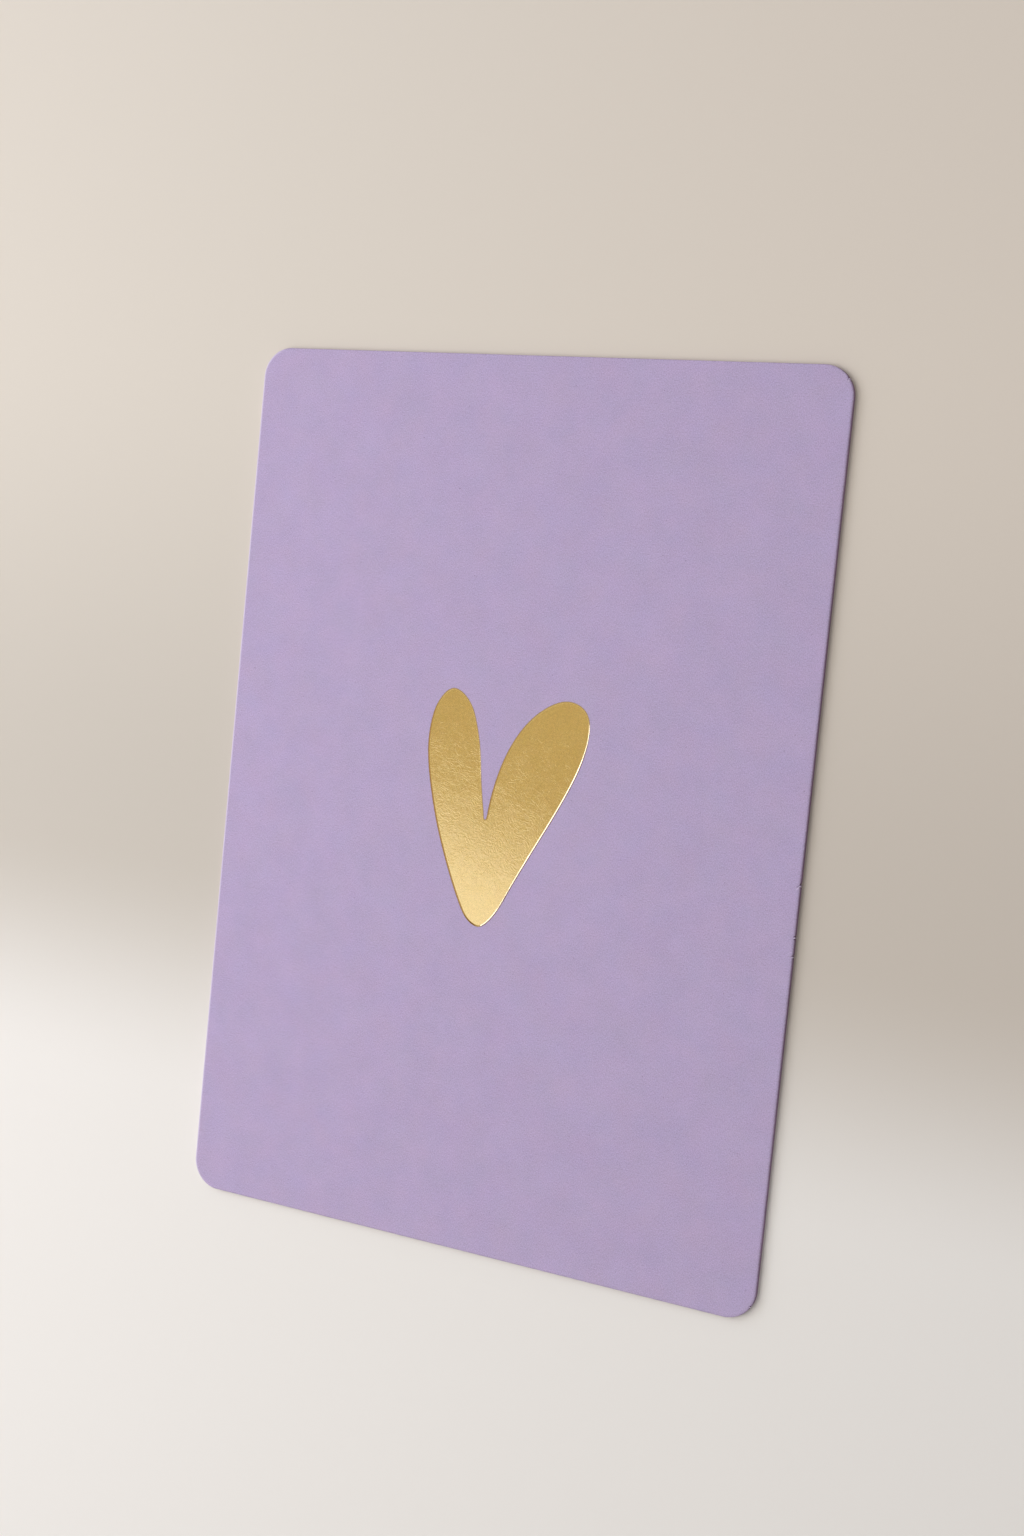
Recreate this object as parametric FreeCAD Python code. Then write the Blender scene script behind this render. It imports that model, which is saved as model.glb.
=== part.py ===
import FreeCAD, Part

import math
import os

# A greeting card: one flat sheet of thick board with a gold foil heart stamped into its face.
# The card lies on its back. X runs across it, Y up it and Z out of the printed face.
# The origin is the centre of the back. All sizes are in millimetres.

# The sheet, an A6 card
CARD_WIDTH = 105.0
CARD_HEIGHT = 148.0
CARD_THICKNESS = 0.9
CORNER_RADIUS = 5.0
# The cutting die enters through the printed face and rolls its rim over.
RIM_ROLL = 0.2

# The heart, and its centre from the centre of the card
HEART_WIDTH = 28.9
HEART_HEIGHT = 38.8
HEART_ACROSS = 0.7
HEART_UP = -0.35
# The hollow that the hot stamp presses into the board, and the width of its leaning wall
# as seen from above
STAMP_DEPTH = 0.12
STAMP_WALL_WIDTH = 0.45
FOIL_THICKNESS = 0.04

# Nicks that the cutting die leaves in the rim on the right, where it held the sheet.
# On the straight side each is a height up the card from its centre, and in a round corner
# it is a turn from X, upwards in the upper corner and downwards in the lower one.
NICK_HEIGHTS = (-5.2, -13.2, -16.2)
NICK_CORNER_TURNS = (36, -30)
NICK_RADIUS = 0.3
NICK_BITE = 0.28

# The heart's outline, counter-clockwise from the right end of the round bottom of its notch.
# Each point is a share of half the heart's width and of half its height, from its centre.
NOTCH_BOTTOM_SHARES = (-0.183, -0.070)
NOTCH_BOTTOM_RADIUS = 0.2
NOTCH_BOTTOM_ANGLES = (360, 315, 270, 225, 180)
LEFT_LOBE_SHARES = (
    (-0.200, -0.054),
    (-0.209, -0.013),
    (-0.223, 0.041),
    (-0.277, 0.270),
    (-0.317, 0.482),
    (-0.402, 0.732),
    (-0.545, 0.928),
    (-0.739, 1.000),
    (-0.902, 0.895),
    (-0.985, 0.714),
    (-1.000, 0.482),
    (-0.937, 0.198),
    (-0.798, -0.166),
    (-0.573, -0.584),
    (-0.386, -0.860),
    (-0.275, -0.963),
)
TIP_SHARES = (-0.130, -1.000)
RIGHT_LOBE_SHARES = (
    (-0.008, -0.937),
    (0.172, -0.713),
    (0.498, -0.233),
    (0.806, 0.224),
    (0.958, 0.523),
    (1.000, 0.719),
    (0.938, 0.921),
    (0.754, 0.992),
    (0.491, 0.940),
    (0.210, 0.755),
    (-0.001, 0.479),
    (-0.119, 0.183),
    (-0.150, 0.048),
    (-0.159, -0.012),
    (-0.165, -0.050),
)


def heart_points():
    """Points of the heart's outline on the card, in order round it."""
    half_width = HEART_WIDTH / 2
    half_height = HEART_HEIGHT / 2
    centre = FreeCAD.Vector(HEART_ACROSS, HEART_UP, 0)

    def place(shares):
        across, up = shares
        return centre + FreeCAD.Vector(across * half_width, up * half_height, 0)

    points = []
    for angle in NOTCH_BOTTOM_ANGLES:
        turn = math.radians(angle)
        arm = FreeCAD.Vector(math.cos(turn), math.sin(turn), 0)
        points.append(place(NOTCH_BOTTOM_SHARES) + arm * NOTCH_BOTTOM_RADIUS)
    for shares in LEFT_LOBE_SHARES + (TIP_SHARES,) + RIGHT_LOBE_SHARES:
        points.append(place(shares))
    return points


def distances_round(points):
    """How far round their closed outline the points are, and the way round back to the first."""
    distances = [0.0]
    for start, end in zip(points, points[1:] + points[:1]):
        distances.append(distances[-1] + start.distanceToPoint(end))
    return distances


def closed_curve(points, distances):
    """A smooth closed curve that passes the points at the given distances."""
    curve = Part.BSplineCurve()
    curve.interpolate(Points=points, PeriodicFlag=True, Parameters=distances)
    return curve


def drawn_in(points, inset):
    """The points of a closed outline, moved inwards at right angles to it."""
    distances = distances_round(points)
    outline = closed_curve(points, distances)
    moved = []
    for point, distance in zip(points, distances):
        along = outline.tangent(distance)[0]
        moved.append(point + FreeCAD.Vector(-along.y, along.x, 0) * inset)
    return moved


def heart_wire(inset, height):
    """The heart's outline at a height, drawn in by the inset.
    Every inset passes its points at the same distances, which are those halfway down the wall,
    so that a wall between two insets leans evenly."""
    points = heart_points()
    distances = distances_round(drawn_in(points, STAMP_WALL_WIDTH / 2))
    curve = closed_curve(drawn_in(points, inset), distances)
    curve.translate(FreeCAD.Vector(0, 0, height))
    return Part.Wire([curve.toShape()])


def stamped_hollow(lift):
    """The space that the stamp presses out of the board, moved out of the face by the lift."""
    mouth = heart_wire(0, CARD_THICKNESS + lift)
    floor = heart_wire(STAMP_WALL_WIDTH, CARD_THICKNESS - STAMP_DEPTH + lift)
    return Part.makeLoft([floor, mouth], True, True)


def is_upright(edge):
    """Whether a straight edge runs along Z."""
    first, last = edge.Vertexes[0].Point, edge.Vertexes[-1].Point
    return abs(first.z - last.z) > CARD_THICKNESS / 2


def is_on_face(edge):
    """Whether an edge lies in the plane of the printed face."""
    return edge.BoundBox.ZMin > CARD_THICKNESS - RIM_ROLL / 2


def blank_sheet():
    """The sheet as the die cuts it: round corners and a rolled rim on the printed face."""
    corner = FreeCAD.Vector(-CARD_WIDTH / 2, -CARD_HEIGHT / 2, 0)
    sheet = Part.makeBox(CARD_WIDTH, CARD_HEIGHT, CARD_THICKNESS, corner)
    sheet = sheet.makeFillet(CORNER_RADIUS, [edge for edge in sheet.Edges if is_upright(edge)])
    return sheet.makeFillet(RIM_ROLL, [edge for edge in sheet.Edges if is_on_face(edge)])


def nick(rim, outward):
    """A round bite out of the rim at a point, where the rim faces outward."""
    return Part.makeCylinder(NICK_RADIUS, CARD_THICKNESS, rim + outward * (NICK_RADIUS - NICK_BITE))


def nicks():
    """All the bites that the die leaves in the rim."""
    bites = []
    for height in NICK_HEIGHTS:
        bites.append(nick(FreeCAD.Vector(CARD_WIDTH / 2, height, 0), FreeCAD.Vector(1, 0, 0)))
    for turn in NICK_CORNER_TURNS:
        outward = FreeCAD.Vector(math.cos(math.radians(turn)), math.sin(math.radians(turn)), 0)
        middle_up = math.copysign(CARD_HEIGHT / 2 - CORNER_RADIUS, turn)
        middle = FreeCAD.Vector(CARD_WIDTH / 2 - CORNER_RADIUS, middle_up, 0)
        bites.append(nick(middle + outward * CORNER_RADIUS, outward))
    return bites


def card_sheet():
    """The sheet with the hollow for the foil and the die's nicks."""
    sheet = blank_sheet().cut(stamped_hollow(0))
    for bite in nicks():
        sheet = sheet.cut(bite)
    return sheet


def foil_heart():
    """The foil lines the floor and the wall of the hollow."""
    return stamped_hollow(0).cut(stamped_hollow(FOIL_THICKNESS))


os.makedirs("parts", exist_ok=True)
card_sheet().exportStep("parts/card_sheet.step")
foil_heart().exportStep("parts/foil_heart.step")
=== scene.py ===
import math

import bmesh
import bpy
import numpy as np
from mathutils import Matrix, Vector, geometry, noise


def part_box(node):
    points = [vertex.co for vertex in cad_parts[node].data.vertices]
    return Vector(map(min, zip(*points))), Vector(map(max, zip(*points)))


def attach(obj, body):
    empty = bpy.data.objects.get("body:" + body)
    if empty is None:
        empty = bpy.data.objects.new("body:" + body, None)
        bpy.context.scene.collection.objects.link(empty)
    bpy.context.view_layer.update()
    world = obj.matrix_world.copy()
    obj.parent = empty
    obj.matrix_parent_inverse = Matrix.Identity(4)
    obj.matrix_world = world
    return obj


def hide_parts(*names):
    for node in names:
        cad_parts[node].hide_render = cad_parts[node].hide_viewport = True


# A lilac greeting card with a gold foil heart stamped into its face. It lies on its back.
# X runs across the card, Y up it and Z out of its face, in metres, from the centre of its back.

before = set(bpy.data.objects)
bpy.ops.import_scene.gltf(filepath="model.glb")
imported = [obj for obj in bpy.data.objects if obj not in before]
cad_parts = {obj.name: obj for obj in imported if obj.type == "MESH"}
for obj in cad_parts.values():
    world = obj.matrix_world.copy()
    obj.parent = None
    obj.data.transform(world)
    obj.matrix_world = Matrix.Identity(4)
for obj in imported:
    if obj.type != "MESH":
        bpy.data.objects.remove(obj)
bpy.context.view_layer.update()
card_low, card_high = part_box("card_sheet")
foil_low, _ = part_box("foil_heart")

MM = 0.001
BACK = card_low.z
FACE = card_high.z
# How closely heights or points have to agree to count as the same
TOLERANCE = 0.001 * MM

# The sheet's corners and the rolled rim of its face, as the part has them
CORNER_RADIUS = 5.0 * MM
RIM_ROLL = 0.2 * MM
# The rim of its back is hardly rolled.
BACK_ROLL = 0.05 * MM
# Along the rim the die has pressed the face down a little, as the shading of the board shows.
PRESSED_WIDTH = 0.5 * MM
PRESSED_DEPTH = 0.05 * MM
# On the left the rim is painted paler as a painted highlight, fully up to the first of these widths from the
# edge.
RIM_HIGHLIGHT_FULLY = 0.1 * MM
RIM_HIGHLIGHT_WIDTH = 0.45 * MM
# The die doesn't cut a perfectly even edge: it has broad waves and short fibres.
RIM_UNEVENNESS = 0.02 * MM
RIM_WAVE = 2.5 * MM
RIM_FIBRE = 0.45 * MM
RIM_FIBRE_HEIGHT = 0.3 * MM

# Nicks in the rim on the right, as the part has them. On the straight side each is a height up
# the card, and in a round corner it is a turn from X, in degrees.
NICK_HEIGHTS = (-5.2 * MM, -13.2 * MM, -16.2 * MM)
NICK_CORNER_TURNS = (36, -30)
NICK_RADIUS = 0.3 * MM
NICK_BITE = 0.28 * MM
# A sliver of torn board crosses each nick: its length, in the order of the nicks above
SLIVER_LENGTHS = (0.9 * MM, 0.3 * MM, 0.4 * MM, 0.5 * MM, 0.3 * MM)
SLIVER_WIDTH = 0.17 * MM
SLIVER_LEAN = math.radians(42)
# How far inside the rim a sliver's middle lies, as a share of its length
SLIVER_INSET_SHARE = 0.4
# The width over which a sliver stands out to the sheet's true edge
TAB_WIDTH = 0.24 * MM
# The painted shade of a dent beside a sliver: how far off it lies, and its lightness
DENT_SHADE_OFFSET = 1.4 * SLIVER_WIDTH
DENT_SHADE_LIGHTNESS = 0.65

# Small marks on the face: the middle of each, its length and its lightness
MARKS = (
    ((50.8 * MM, -69.0 * MM), 0.30 * MM, 0.78),
    ((-24.9 * MM, 53.1 * MM), 0.25 * MM, 1.14),
    ((35.1 * MM, 65.6 * MM), 0.25 * MM, 1.12),
)
MARK_TURN = math.radians(60)
MARK_WIDTH_SHARE = 0.6

# The hollow round the heart: a dull lip at its outline, then the bright wall, which is steepest
# in its middle, and the floor that it leads down to
HOLLOW_RIM = 0.45 * MM
WALL_WIDTH = 0.26 * MM
WALL_STEEP_FROM = 0.05 * MM
WALL_STEEP_TO = 0.20 * MM
LIP_WIDTH = 0.03 * MM
LIP_FADE = 0.04 * MM
# The stamp came down a little too far to the upper left, so that the lip is wider opposite.
LIP_MORE = 0.11 * MM
LIP_MORE_SIDE = Vector((0.8, -0.6))
LIP_MORE_FROM = 0.80
LIP_MORE_TO = 0.96
FOIL_THICKNESS = 0.04 * MM
FLOOR = foil_low.z + FOIL_THICKNESS
# The foil's creases follow arcs about this point of the card, which lies below the heart. Their
# length is worked out at this distance from it.
CREASE_CENTRE = (-12.0 * MM, -28.0 * MM)
CREASE_REACH = 30.0 * MM
# The foil's modelled relief: creases that wander a little and lie in patches, a fine tooth and
# a broad swell
CREASE_HEIGHT = 0.0015 * MM
CREASE_WIDTH = 0.42 * MM
CREASE_LENGTH = 5.5 * MM
CREASE_WANDER = 0.6 * MM
CREASE_WANDER_SIZE = 2.2 * MM
CREASE_PATCH_SIZE = 3.0 * MM
TOOTH_HEIGHT = 0.0004 * MM
TOOTH_SIZE = 0.5 * MM
SWELL_HEIGHT = 0.0015 * MM
SWELL_SIZE = 3.5 * MM

# How fine the meshes are
RIM_STEP = 0.5 * MM
CORNER_STEP = 0.2 * MM
NICK_STEP = 0.04 * MM
ROLL_STEPS = 8
BACK_ROLL_STEPS = 3
# Rings on the straight part of the cut edge, as shares of the thickness
EDGE_RINGS = (0.35, 0.65)
BOARD_STEP = 4.0 * MM
HOLLOW_STEP = 2.0 * MM
HEART_STEP = 0.12 * MM
FLOOR_STEP = 0.125 * MM
WALL_RINGS = 16

# The camera, at the photograph's viewing angle
CAMERA_PLACE = Vector((0.13596, 0.02878, 0.28608))
CAMERA_AIM = Vector((0.002057, 0.007085, 0.0009))
CAMERA_ROLL = math.radians(92.705)
CAMERA_LENS = 45.262

# Colours, as linear values
PAPER = (0.471, 0.371, 0.544)
TORN_PAPER = (0.62, 0.51, 0.67)
# A painted highlight on the rim on the left
RIM_HIGHLIGHT_PAPER = (0.62, 0.53, 0.65)
# The darkening of the cut side: partly the cut fibres' own tone, partly painted shade
SIDE_CORE_AND_SHADE = (0.62, 0.52, 0.56)
GOLD = (0.93, 0.72, 0.36)
# The steep wall's gold, paler as a painted highlight
WALL_HIGHLIGHT_GOLD = (0.85, 0.68, 0.41)
DARK_OUTLINE_FOIL = (0.20, 0.12, 0.125)
TABLE_LEFT = (0.64, 0.573, 0.491)
TABLE_RIGHT = (0.65, 0.571, 0.485)
TABLE_NEAR = (0.84, 0.79, 0.73)
LIGHT_LEFT = (0.68, 0.68, 0.68)
LIGHT_RIGHT = (0.32, 0.32, 0.32)
ROOM_LEFT = (0.548, 0.458, 0.264)
ROOM_RIGHT = (0.45, 0.31, 0.18)
ROOM_FAR = (0.20, 0.11, 0.06)
DAYLIGHT = (0.84, 0.95, 1.25)
PANEL_LIGHT = (0.66, 0.76, 1.0)


# Shader helpers

class Shader:
    """Adds nodes to the tree of a material or of the world, and joins them."""

    def __init__(self, owner):
        owner.use_nodes = True
        self.tree = owner.node_tree
        self.tree.nodes.clear()

    def add(self, kind, inputs=None, **settings):
        """A new node. An input takes a plain value, or the output of another node."""
        node = self.tree.nodes.new(kind)
        for name, value in settings.items():
            setattr(node, name, value)
        for name, value in (inputs or {}).items():
            if isinstance(value, bpy.types.NodeSocket):
                self.tree.links.new(value, node.inputs[name])
            else:
                node.inputs[name].default_value = value
        return node

    def math(self, operation, *values):
        """A sum of plain values."""
        inputs = dict(enumerate(values))
        return self.add("ShaderNodeMath", inputs, operation=operation).outputs[0]

    def vector(self, operation, *values):
        """A vector sum whose result is a vector."""
        inputs = dict(enumerate(values))
        return self.add("ShaderNodeVectorMath", inputs, operation=operation).outputs[0]

    def measure(self, operation, *values):
        """A vector sum whose result is a plain value."""
        inputs = dict(enumerate(values))
        return self.add("ShaderNodeVectorMath", inputs, operation=operation).outputs[1]

    def total(self, first, *others):
        """All the values added up."""
        for value in others:
            first = self.math("ADD", first, value)
        return first

    def axes(self, vector):
        """The parts of a vector along X, Y and Z."""
        return self.add("ShaderNodeSeparateXYZ", {0: vector}).outputs

    def place(self, stretch=(1, 1, 1)):
        """The point on the object, in metres, with each axis multiplied."""
        point = self.add("ShaderNodeTexCoord").outputs["Object"]
        return self.vector("MULTIPLY", point, stretch)

    def upwards(self, normal):
        """How far the surface faces up, from -1 to 1, by the normal of that name."""
        return self.axes(self.add("ShaderNodeNewGeometry").outputs[normal])[2]

    def noise_node(self, size, stretch=(1, 1, 1), detail=2.0, distortion=0.0):
        """A noise texture whose cells are about the given size in metres."""
        return self.add(
            "ShaderNodeTexNoise",
            {
                "Vector": self.place(stretch),
                "Scale": 1 / size,
                "Detail": detail,
                "Roughness": 0.55,
                "Distortion": distortion,
            },
        )

    def noise(self, size, **settings):
        """Noise from 0 to 1, with the size and the settings of a noise texture."""
        return self.noise_node(size, **settings).outputs[0]

    def noise_vector(self, size, detail, strengths):
        """Noise in three channels, each of which sways about 0 by its strength."""
        colour = self.noise_node(size, detail=detail).outputs[1]
        lowest = [-0.5 * strength for strength in strengths]
        return self.vector("MULTIPLY_ADD", colour, strengths, lowest)

    def arcs(self, centre, reach, size, stretch):
        """Noise of the given size, drawn out along arcs that lie about the reach from a point."""
        arm = self.vector("SUBTRACT", self.place(), (*centre, 0.0))
        warp = self.noise_vector(3.0 * MM, 2.0, (3.6 * MM, 3.6 * MM, 0.0))
        x, y, _ = self.axes(self.vector("ADD", arm, warp))
        radius = self.math("SQRT", self.total(self.math("MULTIPLY", x, x), self.math("MULTIPLY", y, y)))
        turn = self.math("ARCTAN2", y, x)
        along = self.math("MULTIPLY", turn, reach / (size * stretch))
        across = self.math("DIVIDE", radius, size)
        place = self.add("ShaderNodeCombineXYZ", {0: across, 1: along}).outputs[0]
        node = self.add("ShaderNodeTexNoise", {"Vector": place, "Scale": 1.0, "Detail": 1.0})
        return node.outputs[0]

    def streak(self, middle, turn, length, width):
        """1 within a short straight streak across the object's face, and 0 outside it."""
        arm = self.vector("SUBTRACT", self.place(), (*middle, 0.0))
        shares = []
        for angle, reach in ((turn, length / 2), (turn + math.pi / 2, width / 2)):
            way = (math.cos(angle), math.sin(angle), 0.0)
            off = self.math("ABSOLUTE", self.measure("DOT_PRODUCT", arm, way))
            shares.append(self.ramp(off, 0.6 * reach, 1.4 * reach, 1.0, 0.0))
        return self.math("MULTIPLY", *shares)

    def distance_inside(self, half_width, half_height, radius):
        """How far inside a rectangle with round corners the point is."""
        point = self.vector("ABSOLUTE", self.place((1, 1, 0)))
        past = self.vector("SUBTRACT", point, (half_width - radius, half_height - radius, 0.0))
        corner = self.measure("LENGTH", self.vector("MAXIMUM", past, (0.0, 0.0, 0.0)))
        across, up, _ = self.axes(past)
        straight = self.math("MINIMUM", self.math("MAXIMUM", across, up), 0.0)
        return self.math("SUBTRACT", radius, self.math("ADD", corner, straight))

    def sway(self, value, strength):
        """A value from 0 to 1, turned into one that sways about 0 by the strength."""
        return self.math("MULTIPLY_ADD", value, strength, -0.5 * strength)

    def ramp(self, value, low, high, out_low=0.0, out_high=1.0):
        """A smooth step from one result at the low value to the other at the high one."""
        inputs = {"Value": value, 1: low, 2: high, 3: out_low, 4: out_high}
        return self.add("ShaderNodeMapRange", inputs, interpolation_type="SMOOTHSTEP").outputs[0]

    def mix(self, share, first, second):
        """One colour or the other, by the share of the second."""
        node = self.add("ShaderNodeMix", {0: share, 6: first, 7: second}, data_type="RGBA")
        return node.outputs[2]

    def shade(self, colour, share, lightness):
        """The colour, made as light as given where the share is 1."""
        factor = self.math("MULTIPLY_ADD", share, lightness - 1, 1.0)
        return self.vector("MULTIPLY", colour, factor)

    def bump(self, height, unit):
        """The normal of a surface with the given relief, whose heights count in the given unit."""
        inputs = {"Height": height, "Strength": 1.0, "Distance": unit}
        return self.add("ShaderNodeBump", inputs).outputs[0]

    def finish(self, kind, shader):
        self.add(kind, {"Surface": shader.outputs[0]})


def opaque(colour):
    """The colour with a full alpha, as a colour socket takes it."""
    return (*colour, 1.0)


# Materials

def board_colour(shader, grain, fibres):
    """Lilac with soft clouds, pink and blue tints and a few dark specks."""
    light = shader.total(
        1.0,
        shader.sway(grain, 0.52),
        shader.sway(fibres, 0.04),
        shader.sway(shader.noise(2.5 * MM), 0.05),
        shader.sway(shader.noise(7.0 * MM, detail=3.0), 0.10),
    )
    broad_tint = shader.noise_vector(5.0 * MM, 5.0, (0.12, 0.03, 0.10))
    fine_tint = shader.noise_vector(0.3 * MM, 2.0, (0.07, 0.03, 0.05))
    tone = shader.vector("ADD", shader.vector("ADD", broad_tint, fine_tint), light)
    specks = shader.ramp(shader.noise(0.25 * MM, detail=0.0), 0.86, 0.90, 1.0, 0.6)
    return shader.vector("MULTIPLY", shader.vector("MULTIPLY", tone, specks), PAPER)


def with_cut_side(shader, colour):
    """Darkens the board's cut side, where the normal lies near level: partly the cut fibres' own darker
    tone, partly painted shade.
    """
    upright = shader.math("ABSOLUTE", shader.upwards("True Normal"))
    side = shader.ramp(upright, 0.1, 0.6, 1.0, 0.0)
    # Partly the cut side's own darker tone, partly painted shade
    return shader.mix(side, colour, shader.vector("MULTIPLY", colour, SIDE_CORE_AND_SHADE))


def with_painted_rim_highlight(shader, colour, inset):
    """Adds a painted highlight: the paler rim on the left."""
    across = shader.axes(shader.place())[0]
    leftward = shader.ramp(across, card_low.x, card_low.x + CORNER_RADIUS, 1.0, 0.0)
    outermost = shader.ramp(inset, RIM_HIGHLIGHT_FULLY, RIM_HIGHLIGHT_WIDTH, 1.0, 0.0)
    # Painted highlight on the rim on the left
    return shader.mix(shader.math("MULTIPLY", leftward, outermost), colour, opaque(RIM_HIGHLIGHT_PAPER))


def with_marks(shader, colour):
    """Adds the small spots on the face."""
    for middle, length, lightness in MARKS:
        mark = shader.streak(middle, MARK_TURN, length, MARK_WIDTH_SHARE * length)
        colour = shader.shade(colour, mark, lightness)
    return colour


def with_slivers(shader, colour):
    """Adds the pale sliver of torn board in each nick, and the painted shade of a dent beside it."""
    for place, length in zip(nick_places(), SLIVER_LENGTHS):
        rim, out = rim_station(place)
        turn = math.atan2(out.y, out.x) + SLIVER_LEAN
        way = Vector((math.cos(turn), math.sin(turn)))
        middle = rim - way * length * SLIVER_INSET_SHARE
        # Painted shade of a pressed-down dent beside the sliver
        beside = Vector((-way.y, way.x)) * DENT_SHADE_OFFSET
        dent_shade = shader.streak(middle + beside, turn, length / 2, SLIVER_WIDTH)
        colour = shader.shade(colour, dent_shade, DENT_SHADE_LIGHTNESS)
        sliver = shader.streak(middle, turn, length, SLIVER_WIDTH)
        colour = shader.mix(sliver, colour, opaque(TORN_PAPER))
    return colour


def board_material():
    """Thick lilac board with a fine fibrous grain."""
    material = bpy.data.materials.new("lilac_board")
    shader = Shader(material)
    grain = shader.noise(0.13 * MM, stretch=(1.0, 0.6, 1.0), detail=0.0)
    fibres = shader.noise(0.35 * MM, stretch=(1.6, 0.45, 1.0), distortion=1.5)
    inset = shader.distance_inside(card_high.x, card_high.y, CORNER_RADIUS)

    colour = board_colour(shader, grain, fibres)
    colour = with_cut_side(shader, colour)
    colour = with_painted_rim_highlight(shader, colour, inset)
    colour = with_marks(shader, colour)
    colour = with_slivers(shader, colour)

    relief = shader.math("MULTIPLY", shader.total(grain, fibres), 0.0012 * MM)
    pressed = shader.ramp(inset, 0.0, PRESSED_WIDTH, -PRESSED_DEPTH, 0.0)
    board = shader.add(
        "ShaderNodeBsdfPrincipled",
        {
            "Base Color": colour,
            "Roughness": 0.92,
            "Specular IOR Level": 0.25,
            "Normal": shader.bump(shader.total(relief, pressed), 1.0),
        },
    )
    shader.finish("ShaderNodeOutputMaterial", board)
    return material


def foil_colour(shader, tooth, patches, leaning):
    """Gold with a fine tooth and a few pits. The steep wall is painted paler, as a painted highlight."""
    light = shader.total(
        1.0,
        shader.sway(tooth, 0.38),
        shader.sway(shader.noise(0.45 * MM, detail=1.0), 0.20),
        shader.sway(patches, 0.04),
    )
    pits = shader.ramp(shader.noise(0.3 * MM, detail=0.0), 0.84, 0.88, 1.0, 0.75)
    light = shader.math("MULTIPLY", light, pits)
    tint = shader.noise_vector(1.4 * MM, 3.0, (0.06, 0.04, 0.16))
    gold = shader.vector("MULTIPLY", GOLD, shader.vector("ADD", tint, light))
    # Painted highlight: the steep wall is paler gold.
    return shader.mix(leaning, gold, opaque(WALL_HIGHLIGHT_GOLD))


def foil_relief(shader, tooth):
    """Patches of short creases, and the tooth. The foil is smoother towards the heart's tip and
    the tops of its lobes."""
    arcs = shader.arcs(CREASE_CENTRE, CREASE_REACH, size=0.23 * MM, stretch=3.2)
    creases = shader.sway(arcs, 1.0)
    share = shader.ramp(shader.noise(2.0 * MM, detail=3.0), 0.36, 0.58, 0.5, 1.0)
    up = shader.axes(shader.place())[1]
    above_tip = shader.ramp(up, -15 * MM, -8 * MM, 0.3, 1.0)
    below_tops = shader.ramp(up, 16 * MM, 9 * MM, 0.5, 1.0)
    share = shader.math("MULTIPLY", shader.math("MULTIPLY", share, above_tip), below_tops)
    return shader.total(shader.math("MULTIPLY", creases, share), shader.sway(tooth, 0.06))


def foil_material():
    """Satin gold foil with a dark, dull line along its outline."""
    material = bpy.data.materials.new("gold_foil")
    shader = Shader(material)
    tooth = shader.noise(0.2 * MM, detail=3.0)
    patches = shader.noise(2.5 * MM)
    leaning = shader.ramp(shader.upwards("Normal"), 0.93, 0.99, 1.0, 0.0)
    edge = shader.add("ShaderNodeAttribute", attribute_name="edge").outputs["Fac"]

    gold = foil_colour(shader, tooth, patches, leaning)
    # The steep wall is smoother, and the dark line along the outline is rougher.
    rough = shader.ramp(patches, 0.3, 0.7, 0.125, 0.15)
    rough = shader.math("MULTIPLY", rough, shader.math("MULTIPLY_ADD", leaning, -0.2, 1.0))
    rough = shader.math("MULTIPLY_ADD", edge, 0.5, rough)
    foil = shader.add(
        "ShaderNodeBsdfPrincipled",
        {
            "Base Color": shader.mix(edge, gold, opaque(DARK_OUTLINE_FOIL)),
            "Metallic": shader.ramp(edge, 0.0, 1.0, 1.0, 0.0),
            "Roughness": rough,
            "Normal": shader.bump(foil_relief(shader, tooth), 0.012 * MM),
        },
    )
    shader.finish("ShaderNodeOutputMaterial", foil)
    return material


def table_material():
    """A plain beige surface, with painted light that makes it a little lighter at its far end, and much
    lighter at its near end.
    """
    material = bpy.data.materials.new("pale_table")
    shader = Shader(material)
    across, up, _ = shader.axes(shader.place())
    beige = shader.mix(shader.ramp(across, -0.08, 0.10), opaque(TABLE_LEFT), opaque(TABLE_RIGHT))
    # Painted light: the beige is made darker towards the near end and lighter at the far end.
    beige = shader.vector("MULTIPLY", beige, shader.ramp(up, -0.01, 0.08, 0.92, 1.09))
    colour = shader.mix(shader.ramp(up, -0.06, -0.015, 1.0, 0.0), beige, opaque(TABLE_NEAR))
    table = shader.add(
        "ShaderNodeBsdfPrincipled",
        {"Base Color": colour, "Roughness": 0.9, "Specular IOR Level": 0.2},
    )
    shader.finish("ShaderNodeOutputMaterial", table)
    return material


# The board

def rim_station(along):
    """The point at a distance round the sheet, from the foot of the right side upwards,
    and the direction that faces out of the sheet there."""
    half_width = card_high.x
    half_height = card_high.y
    straight_up = 2 * (half_height - CORNER_RADIUS)
    straight_across = 2 * (half_width - CORNER_RADIUS)
    quarter = CORNER_RADIUS * math.pi / 2
    for side in range(4):
        straight = straight_across if side % 2 else straight_up
        reach = half_height if side % 2 else half_width
        turn = side * math.pi / 2
        out = Vector((math.cos(turn), math.sin(turn)))
        ahead = Vector((-out.y, out.x))
        if along <= straight:
            return out * reach + ahead * (along - straight / 2), out
        along -= straight
        if along <= quarter:
            middle = out * (reach - CORNER_RADIUS) + ahead * (straight / 2)
            turn += along / CORNER_RADIUS
            out = Vector((math.cos(turn), math.sin(turn)))
            return middle + out * CORNER_RADIUS, out
        along -= quarter
    raise ValueError("past the end of the rim")


def rim_length():
    """The way all round the sheet."""
    straights = 4 * (card_high.x + card_high.y - 2 * CORNER_RADIUS)
    return straights + 2 * math.pi * CORNER_RADIUS


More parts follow.
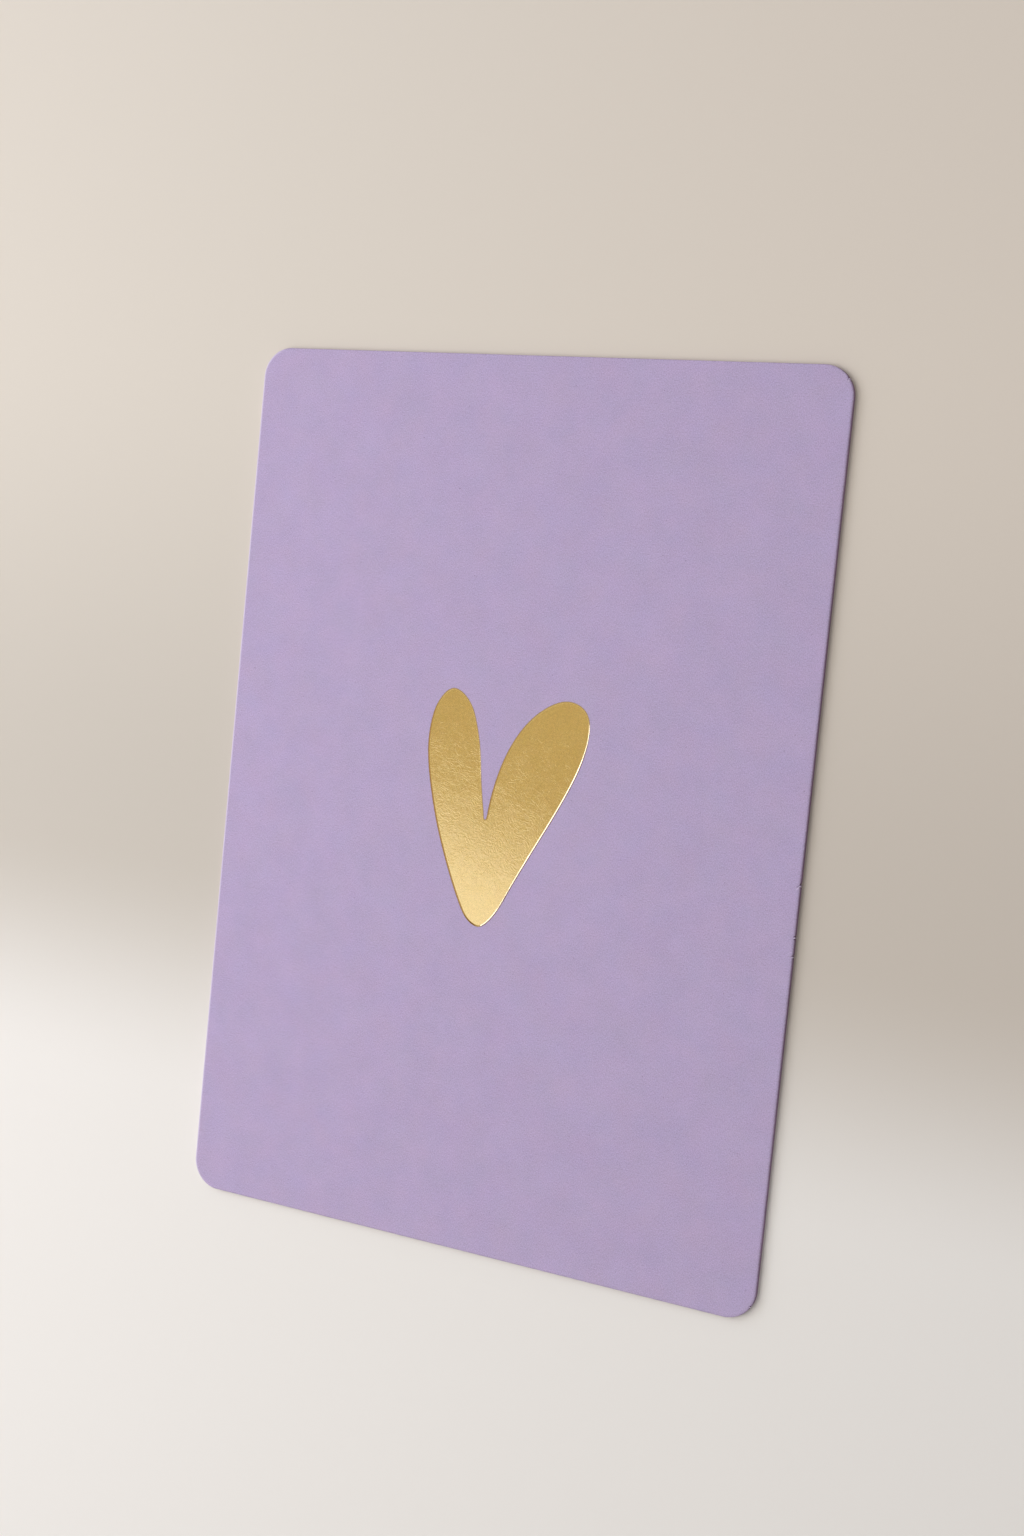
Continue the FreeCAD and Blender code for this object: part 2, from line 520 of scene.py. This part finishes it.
def nick_places():
    """How far round the rim each nick is."""
    half_straight = card_high.y - CORNER_RADIUS
    places = [height + half_straight for height in NICK_HEIGHTS]
    upper, lower = (math.radians(turn) * CORNER_RADIUS for turn in NICK_CORNER_TURNS)
    return places + [2 * half_straight + upper, rim_length() + lower]


def on_tab(along):
    """Whether the torn sliver in a nick stands out to the sheet's true edge there."""
    return any(abs(along - place) < TAB_WIDTH / 2 for place in nick_places())


def bite(along):
    """How deep the nicks cut into the rim there."""
    for place in nick_places():
        off = abs(along - place)
        if off < NICK_RADIUS:
            reach = math.sqrt(NICK_RADIUS ** 2 - off ** 2)
            return max(0.0, reach - (NICK_RADIUS - NICK_BITE))
    return 0.0


def rim_stations():
    """Distances round the rim, closer together in the corners and at the nicks."""
    total = rim_length()
    stations = list(np.arange(0, total, RIM_STEP))
    straight_up = 2 * (card_high.y - CORNER_RADIUS)
    straight_across = 2 * (card_high.x - CORNER_RADIUS)
    quarter = CORNER_RADIUS * math.pi / 2
    start = straight_up
    for straight in (straight_across, straight_up, straight_across, 0):
        stations += list(np.arange(start, start + quarter, CORNER_STEP))
        start += quarter + straight
    for place in nick_places():
        stations += list(np.arange(place - NICK_RADIUS, place + NICK_RADIUS, NICK_STEP))
    stations = sorted(stations)
    kept = [stations[0]]
    for station in stations[1:]:
        if station - kept[-1] > NICK_STEP / 2 and total - station > NICK_STEP / 2:
            kept.append(station)
    return kept


def rim_profile():
    """The section of the sheet's edge from the back to the face: insets and heights."""
    profile = []
    for step in range(BACK_ROLL_STEPS + 1):
        turn = step * math.pi / 2 / BACK_ROLL_STEPS
        profile.append((BACK_ROLL * (1 - math.sin(turn)), BACK + BACK_ROLL * (1 - math.cos(turn))))
    for share in EDGE_RINGS:
        profile.append((0.0, BACK + share * (FACE - BACK)))
    for step in range(ROLL_STEPS + 1):
        turn = step * math.pi / 2 / ROLL_STEPS
        inset = RIM_ROLL * (1 - math.cos(turn))
        profile.append((inset, FACE - RIM_ROLL * (1 - math.sin(turn))))
    return profile


def unevenness(along, height):
    """How far the cut edge lies inside its true line."""
    waves = noise.noise(Vector((along / RIM_WAVE, 0.0, 3.0)))
    fibres = noise.noise(Vector((along / RIM_FIBRE, height / RIM_FIBRE_HEIGHT, 7.0)))
    return RIM_UNEVENNESS * (0.5 + 0.35 * waves + 0.35 * fibres)


def rim_rings():
    """Rings of points round the sheet, one for each point of the edge's section."""
    stations = rim_stations()
    rings = []
    for inset, height in rim_profile():
        ring = []
        for along in stations:
            point, out = rim_station(along)
            depth = unevenness(along, height)
            if not on_tab(along):
                depth += max(inset, bite(along))
            inner = point - out * depth
            ring.append((inner.x, inner.y, height))
        rings.append(ring)
    return rings


def inside(points, loop):
    """Which of the points lie inside the closed loop."""
    within = np.zeros(len(points), bool)
    ends = np.roll(loop, -1, axis=0)
    for (x1, y1), (x2, y2) in zip(loop, ends):
        if y1 == y2:
            continue
        crosses = (points[:, 1] < y1) != (points[:, 1] < y2)
        reach = x1 + (points[:, 1] - y1) * (x2 - x1) / (y2 - y1)
        within ^= crosses & (points[:, 0] < reach)
    return within


def grid(low, high, step):
    """Points of a triangular grid that fills a rectangle."""
    rows = []
    row_step = step * math.sqrt(3) / 2
    for row, y in enumerate(np.arange(low[1] + row_step, high[1], row_step)):
        x = np.arange(low[0] + step * (0.5 + 0.5 * (row % 2)), high[0], step)
        rows.append(np.column_stack([x, np.full(len(x), y)]))
    return np.concatenate(rows)


def distance_to(points, loop):
    """How far each point is from the nearest point of the loop."""
    nearest = np.full(len(points), np.inf)
    for corner in loop:
        nearest = np.minimum(nearest, np.hypot(*(points - corner).T))
    return nearest


def fill(outer, hole, step):
    """Triangles that fill a loop around an optional hole, with a grid of points within.
    Returns the points, which start with the loops' own, and the triangles."""
    loops = [outer] if hole is None else [outer, hole]
    points = grid(outer.min(axis=0), outer.max(axis=0), step)
    points = points[inside(points, outer)]
    if hole is not None:
        points = points[~inside(points, hole)]
    for loop in loops:
        points = points[distance_to(points, loop) > step * 0.6]
    edges = []
    start = 0
    for loop in loops:
        count = len(loop)
        edges += [(start + i, start + (i + 1) % count) for i in range(count)]
        start += count
    corners = [Vector(p) for p in np.concatenate(loops + [points])]
    inside_only = 1
    found = geometry.delaunay_2d_cdt(corners, edges, [], inside_only, 1e-9)
    places = np.array([tuple(p) for p in found[0]])
    triangles = np.array(found[2])
    if hole is not None:
        middles = places[triangles].mean(axis=1)
        triangles = triangles[~inside(middles, hole)]
    return places, triangles.tolist()


def bridge(start_a, start_b, count):
    """Quads between two rings of as many points, the second above or inside the first."""
    quads = []
    for i in range(count):
        j = (i + 1) % count
        quads.append((start_a + i, start_a + j, start_b + j, start_b + i))
    return quads


def make_piece(name, points, faces, material, sharp_angle):
    """A smooth-shaded mesh object."""
    mesh = bpy.data.meshes.new(name)
    mesh.from_pydata([tuple(p) for p in points], [], faces)
    mesh.validate()
    mesh.materials.append(material)
    mesh.shade_smooth()
    mesh.set_sharp_from_angle(angle=math.radians(sharp_angle))
    piece = bpy.data.objects.new(name, mesh)
    bpy.context.scene.collection.objects.link(piece)
    return piece


def board_piece(outline):
    """The sheet: its edge, its back, its face round the heart, and the hollow for the foil."""
    points = []
    faces = []
    rings = rim_rings()
    count = len(rings[0])
    for ring in rings:
        points += ring
    for step in range(len(rings) - 1):
        faces += bridge(step * count, (step + 1) * count, count)

    def close(outer, hole, step, height, up):
        """Fills a flat part of the sheet with its own points."""
        start = len(points)
        places, triangles = fill(outer, hole, step)
        points.extend((x, y, height) for x, y in places)
        for a, b, c in triangles:
            faces.append((start + a, start + b, start + c) if up else (start + a, start + c, start + b))

    back = np.array(rings[0])[:, :2]
    rim = np.array(rings[-1])[:, :2]
    hollow_floor = offset(outline, HOLLOW_RIM)
    close(back, None, BOARD_STEP, BACK, False)
    close(rim, outline, BOARD_STEP, FACE, True)
    close(hollow_floor, None, HOLLOW_STEP, foil_low.z, True)

    count = len(outline)
    points.extend((x, y, FACE) for x, y in outline)
    for insets, drop in hollow_rings(outline):
        height = FACE - FOIL_THICKNESS - (FACE - FLOOR) * drop
        points.extend((x, y, height) for x, y in offset(outline, insets))
        faces += bridge(len(points) - 2 * count, len(points) - count, count)
    return make_piece("card_board", points, faces, board_material(), sharp_angle=50)


# The heart

def rim_loops(node, height):
    """The closed loops that bound a node's flat ring at a height, as lists of points."""
    form = bmesh.new()
    form.from_mesh(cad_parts[node].data)
    bmesh.ops.remove_doubles(form, verts=form.verts, dist=TOLERANCE)
    lowest = height - TOLERANCE
    ring = {face for face in form.faces if min(v.co.z for v in face.verts) > lowest}
    following = {}
    for face in ring:
        for corner in face.loops:
            if len(ring.intersection(corner.edge.link_faces)) == 1:
                following[corner.vert] = corner.link_loop_next.vert
    loops = []
    while following:
        start, end = following.popitem()
        loop = [start]
        while end != start:
            loop.append(end)
            end = following.pop(end)
        loops.append(np.array([v.co.xy for v in loop]))
    form.free()
    return loops


def area(loop):
    """The area inside a loop, which is negative where the loop runs clockwise."""
    ends = np.roll(loop, -1, axis=0)
    return 0.5 * float(np.sum(loop[:, 0] * ends[:, 1] - ends[:, 0] * loop[:, 1]))


def smooth_loop(corners, step):
    """Evenly spaced points on the smooth closed curve through the corners."""
    count = len(corners)
    ahead = np.roll(corners, -1, axis=0) - corners
    gap = np.hypot(*ahead.T)
    system = np.zeros((count, count))
    known = np.zeros((count, 2))
    for i in range(count):
        before, after = gap[i - 1], gap[i]
        system[i, i - 1] += 1 / before
        system[i, i] += 2 / before + 2 / after
        system[i, (i + 1) % count] += 1 / after
        known[i] = 3 * (ahead[i - 1] / before ** 2 + ahead[i] / after ** 2)
    slope = np.linalg.solve(system, known)
    dense = []
    for i in range(count):
        j = (i + 1) % count
        for t in np.arange(0, 1, min(0.5, step / 4 / gap[i])):
            first = corners[i] * (1 + 2 * t) * (1 - t) ** 2 + slope[i] * gap[i] * t * (1 - t) ** 2
            second = corners[j] * t * t * (3 - 2 * t) - slope[j] * gap[i] * t * t * (1 - t)
            dense.append(first + second)
    dense = np.array(dense + dense[:1])
    reach = np.concatenate([[0], np.cumsum(np.hypot(*np.diff(dense, axis=0).T))])
    stations = np.linspace(0, reach[-1], round(reach[-1] / step), endpoint=False)
    return np.column_stack([np.interp(stations, reach, dense[:, axis]) for axis in (0, 1)])


def offset(loop, insets):
    """The loop drawn in at right angles to itself, by one inset or by one for each point."""
    along = np.roll(loop, -1, axis=0) - np.roll(loop, 1, axis=0)
    along /= np.hypot(*along.T)[:, None]
    insets = np.broadcast_to(insets, len(loop))[:, None]
    return loop + np.column_stack([-along[:, 1], along[:, 0]]) * insets


def wall_drops():
    """How far below the face each ring of the wall is, as a share of the hollow's depth."""
    reaches = np.linspace(0, WALL_WIDTH, WALL_RINGS + 1)
    turns = (0, WALL_STEEP_FROM, WALL_STEEP_TO, WALL_WIDTH)
    drops = np.cumsum(np.interp(reaches, turns, (0, 1, 1, 0)))
    return drops / drops[-1]


def lip_widths(outline):
    """How wide the dull lip is at each point of the heart's outline."""
    outward = outline - offset(outline, 1.0)
    towards = outward @ np.array(LIP_MORE_SIDE)
    share = np.clip((towards - LIP_MORE_FROM) / (LIP_MORE_TO - LIP_MORE_FROM), 0.0, 1.0)
    return LIP_WIDTH + LIP_MORE * share ** 2 * (3 - 2 * share)


def hollow_rings(outline):
    """The rings of the hollow from its mouth to its floor. Each is how far in its points are,
    and how far down, as a share of the hollow's depth."""
    lips = lip_widths(outline)
    rings = [(np.zeros(len(outline)), 0.0)]
    for ring, drop in enumerate(wall_drops()):
        rings.append((lips + WALL_WIDTH * ring / WALL_RINGS, drop))
    rings.append((np.full(len(outline), HOLLOW_RIM), 1.0))
    return rings


def noise_at(x, y, size, layer):
    """Noise about 0 at a point of the card, whose cells are about the given size."""
    return noise.noise(Vector((x / size, y / size, layer)))


def ripple(x, y):
    """The foil's height above its even surface, where the board's fibres press through.
    Much of it is short creases that follow arcs about a point below the heart."""
    arm = Vector((x, y)) - Vector(CREASE_CENTRE)
    radius = arm.length + CREASE_WANDER * noise_at(x, y, CREASE_WANDER_SIZE, layer=5.0)
    along = CREASE_REACH * math.atan2(arm.y, arm.x)
    creases = noise.noise(Vector((radius / CREASE_WIDTH, along / CREASE_LENGTH, 0.0)))
    patch = max(0.0, 0.5 + noise_at(x, y, CREASE_PATCH_SIZE, layer=11.0))
    tooth = noise_at(x, y, TOOTH_SIZE, layer=2.0)
    swell = noise_at(x, y, SWELL_SIZE, layer=8.0)
    return CREASE_HEIGHT * creases * patch + TOOTH_HEIGHT * tooth + SWELL_HEIGHT * swell


def foil_piece(outline):
    """The foil: a leaning wall all round, and a floor with shallow creases."""
    points = []
    edge = []
    faces = []
    count = len(outline)
    lips = lip_widths(outline)
    for insets, drop in hollow_rings(outline):
        for x, y in offset(outline, insets):
            points.append((x, y, FACE - (FACE - FLOOR) * drop + drop * ripple(x, y)))
        edge.extend(np.clip(1.0 - (insets - lips) / LIP_FADE, 0.0, 1.0))
        if len(points) > count:
            faces.extend(bridge(len(points) - 2 * count, len(points) - count, count))
    last = len(points) - count
    places, triangles = fill(offset(outline, HOLLOW_RIM), None, FLOOR_STEP)
    for x, y in places[count:]:
        points.append((x, y, FLOOR + ripple(x, y)))
        edge.append(0.0)
    faces += [tuple(last + corner for corner in triangle) for triangle in triangles]
    piece = make_piece("heart_foil", points, faces, foil_material(), sharp_angle=80)
    marks = piece.data.attributes.new("edge", "FLOAT", "POINT")
    marks.data.foreach_set("value", edge)
    return piece


# The stage

def make_table():
    """The surface that the card lies on."""
    half = 1.5
    corners = [(-half, -half, 0.0), (half, -half, 0.0), (half, half, 0.0), (-half, half, 0.0)]
    mesh = bpy.data.meshes.new("table")
    mesh.from_pydata(corners, [], [(0, 1, 2, 3)])
    mesh.materials.append(table_material())
    table = bpy.data.objects.new("table", mesh)
    bpy.context.scene.collection.objects.link(table)
    table.location.z = BACK


def make_camera():
    """The camera, aimed at a point and then rolled about its line of sight."""
    data = bpy.data.cameras.new("camera")
    data.lens = CAMERA_LENS
    camera = bpy.data.objects.new("camera", data)
    bpy.context.scene.collection.objects.link(camera)
    forward = (CAMERA_AIM - CAMERA_PLACE).normalized()
    level = forward.cross(Vector((0, 0, 1))).normalized()
    upward = level.cross(forward)
    right = level * math.cos(CAMERA_ROLL) - upward * math.sin(CAMERA_ROLL)
    turned = Matrix((right, right.cross(forward), -forward)).transposed()
    camera.matrix_world = Matrix.Translation(CAMERA_PLACE) @ turned.to_4x4()
    bpy.context.scene.camera = camera


def make_room():
    """The soft light from all round, and the beige room that the foil and the camera see."""
    world = bpy.data.worlds.new("room")
    shader = Shader(world)
    rightward, onward, _ = shader.axes(shader.add("ShaderNodeTexCoord").outputs["Generated"])
    light = shader.mix(shader.ramp(rightward, -0.8, 0.8), opaque(LIGHT_LEFT), opaque(LIGHT_RIGHT))
    is_right = shader.ramp(rightward, -0.10, 0.30)
    is_right = shader.math("MULTIPLY", is_right, shader.ramp(onward, -0.45, 0.0, 0.3, 1.0))
    seen = shader.mix(is_right, opaque(ROOM_LEFT), opaque(ROOM_RIGHT))
    is_far = shader.ramp(onward, 0.20, 0.50)
    is_far = shader.math("MULTIPLY", is_far, shader.ramp(rightward, -0.45, -0.15))
    seen = shader.mix(is_far, seen, opaque(ROOM_FAR))
    path = shader.add("ShaderNodeLightPath").outputs
    is_seen = shader.math("MAXIMUM", path["Is Camera Ray"], path["Is Glossy Ray"])
    is_seen = shader.math("MAXIMUM", is_seen, path["Is Transmission Ray"])
    background = shader.add("ShaderNodeBackground", {"Color": shader.mix(is_seen, light, seen)})
    shader.finish("ShaderNodeOutputWorld", background)
    bpy.context.scene.world = world


def make_lamp(name, place, aim, width, height, brightness, spin=0.0):
    """A flat rectangular lamp of an even brightness, whose height runs towards the zenith."""
    data = bpy.data.lights.new(name, "AREA")
    data.shape = "RECTANGLE"
    data.size = width
    data.size_y = height
    data.energy = brightness * width * height * math.pi
    lamp = bpy.data.objects.new(name, data)
    bpy.context.scene.collection.objects.link(lamp)
    facing = (Vector(aim) - Vector(place)).to_track_quat("-Z", "Y")
    turned = facing.to_matrix().to_4x4() @ Matrix.Rotation(spin, 4, "Z")
    lamp.matrix_world = Matrix.Translation(place) @ turned
    return lamp


def lamp_place(turn, height, distance):
    """A place at a turn from the left of the card towards its top, and at a height, in degrees."""
    turn, height = math.radians(turn), math.radians(height)
    level = distance * math.cos(height)
    return Vector((-level * math.cos(turn), level * math.sin(turn), distance * math.sin(height)))


def light_scene():
    """The lamps. All but the panel face the middle of the card."""
    middle = (0, 0, 0)
    # The window on the left, low enough for the far wall of the hollow to mirror it
    place = lamp_place(turn=30.5, height=26, distance=0.8)
    window = make_lamp("window", place, middle, width=0.63, height=0.31, brightness=2.0)
    # Its nearer pane, half covered
    place = lamp_place(turn=1.5, height=23, distance=0.8)
    pane = make_lamp("covered_pane", place, middle, width=0.20, height=0.10, brightness=2.0)
    for lamp in (window, pane):
        lamp.data.color = DAYLIGHT
    # A pale curtain above them
    place = lamp_place(turn=0, height=50, distance=0.5)
    curtain = make_lamp("curtain", place, middle, width=0.50, height=0.50, brightness=2.02)
    curtain.visible_glossy = False
    # A soft panel overhead, whose edge the foil mirrors across its middle
    edge_middle = Vector((-0.311, -0.0727, 0.6))
    edge_tilt = math.radians(-17)
    panel_depth = 0.13
    inward = Vector((math.sin(edge_tilt), -math.cos(edge_tilt), 0))
    place = edge_middle + inward * panel_depth / 2
    below = place - Vector((0, 0, 1))
    panel = make_lamp("panel", place, below, width=0.60, height=panel_depth, brightness=0.72, spin=edge_tilt)
    panel.data.color = PANEL_LIGHT


# The scene

outer_rim = max(rim_loops("foil_heart", FACE), key=area)
heart_outline = smooth_loop(outer_rim, HEART_STEP)

board = board_piece(heart_outline)
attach(board, "root")
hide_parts("card_sheet")

foil = foil_piece(heart_outline)
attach(foil, "root")
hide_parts("foil_heart")

make_table()
make_camera()
make_room()
light_scene()
bpy.context.scene.view_settings.view_transform = "Standard"
